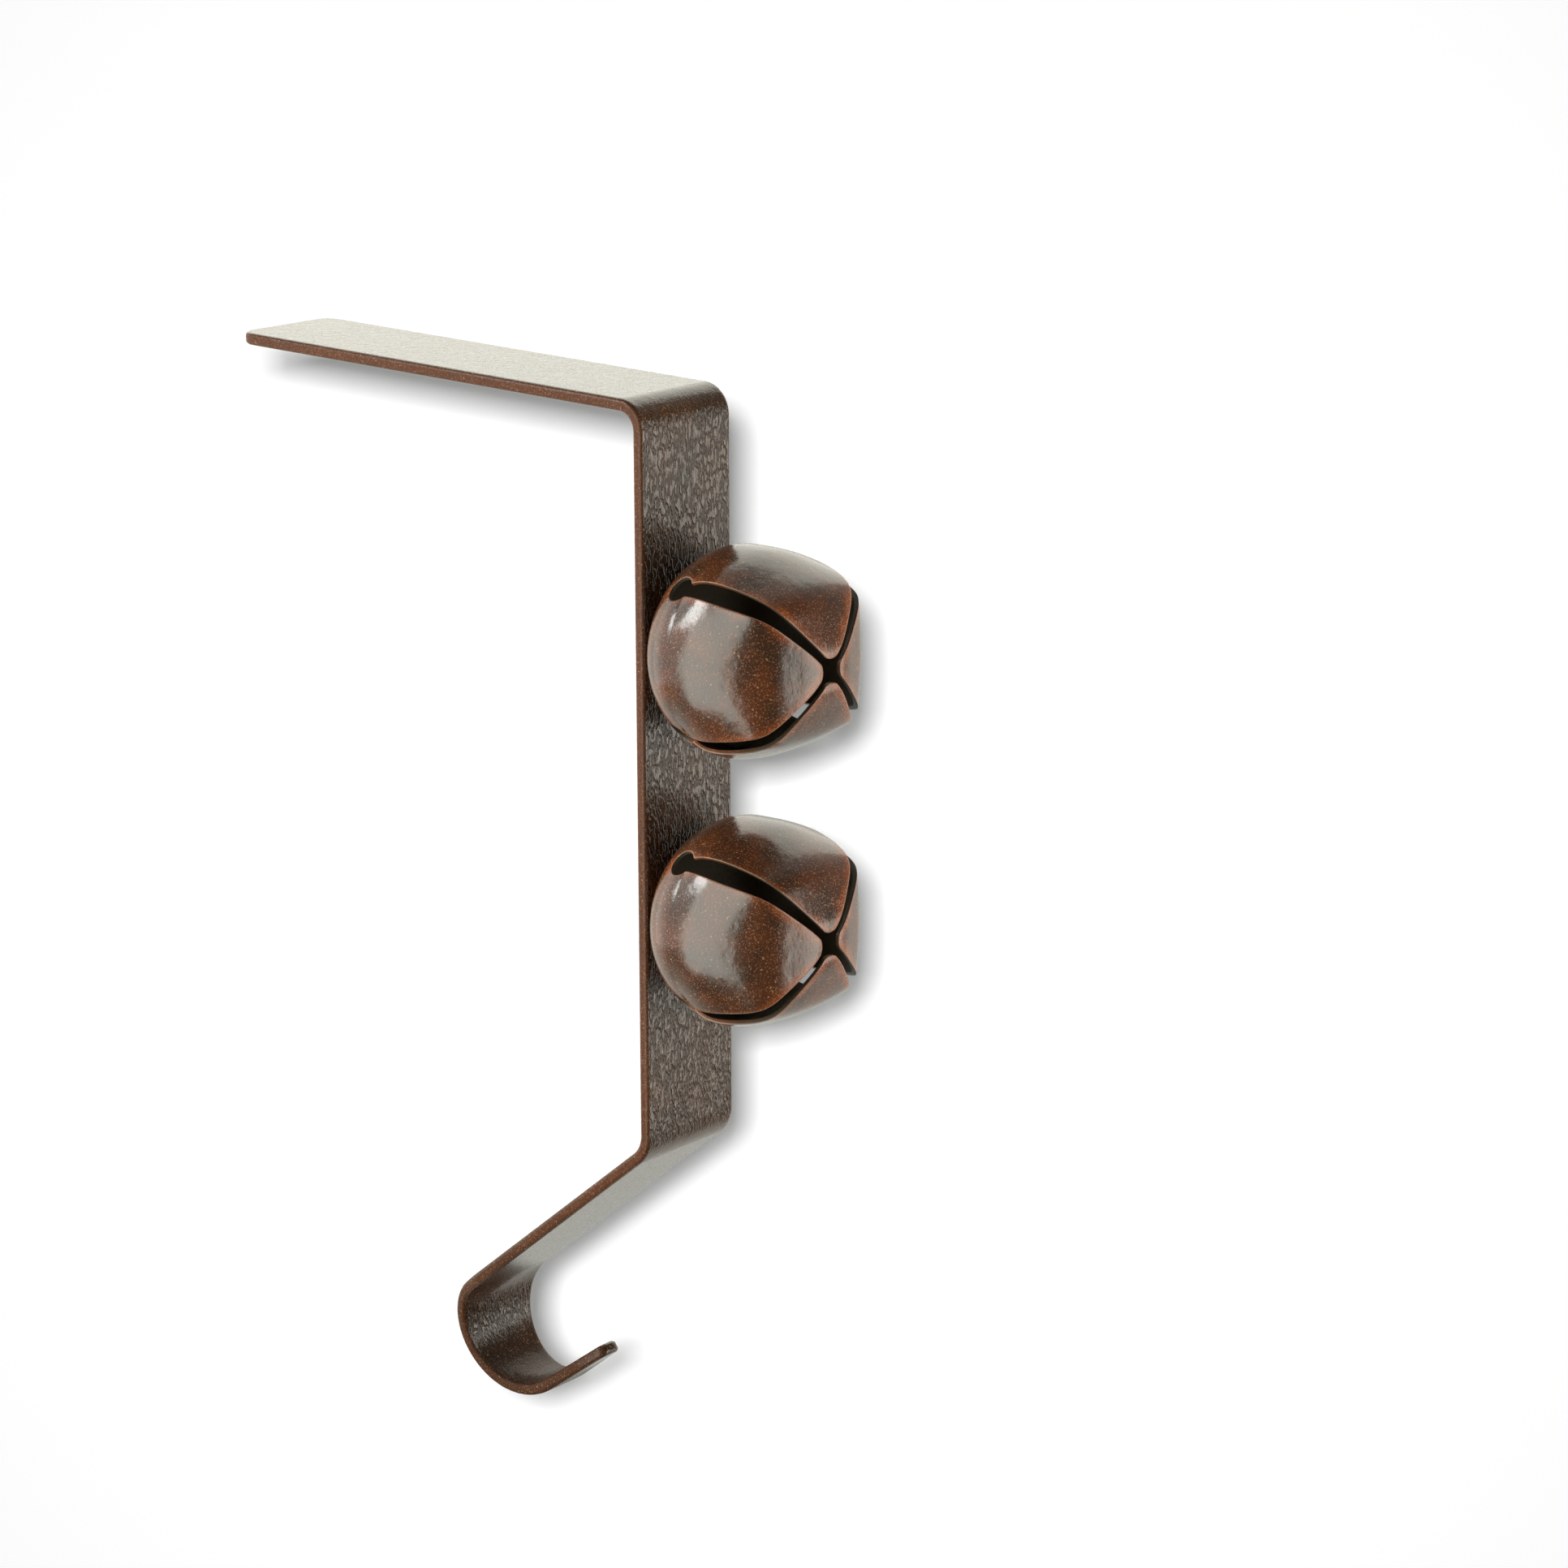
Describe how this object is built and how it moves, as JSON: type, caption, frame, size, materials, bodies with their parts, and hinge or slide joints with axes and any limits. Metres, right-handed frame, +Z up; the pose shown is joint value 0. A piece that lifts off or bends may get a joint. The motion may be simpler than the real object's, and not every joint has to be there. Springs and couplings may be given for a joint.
{
  "type": "mantel stocking holder",
  "caption": "Bent flat-bar bracket that rests on a mantel and hangs a stocking from its tapered hook, with jingle bells riveted to its front.",
  "frame": {"origin": "middle of the arm's flat underside, the face that rests on the mantel", "axes": "+X across the band, +Y back along the arm to the wall, +Z up; the upright, the bells and the hook hang below the origin and the bells face -Y"},
  "size_m": [0.0412, 0.1537, 0.2217],
  "materials": {
    "strap_coat": "dark copper-brown wrinkled powder coat with a fine orange speckle",
    "bell_coat": "the same speckled powder coat, smoother and glossier on the stamped shell",
    "rivet_coat": "powder coated over with the rest",
    "pellet_steel": "plain steel ball"
  },
  "bodies": {
    "root": {"strap": "strap_coat", "upper_bell": "bell_coat", "lower_bell": "bell_coat", "upper_rivet": "rivet_coat", "lower_rivet": "rivet_coat", "upper_pellet": "pellet_steel", "lower_pellet": "pellet_steel"}
  },
  "joints": []
}
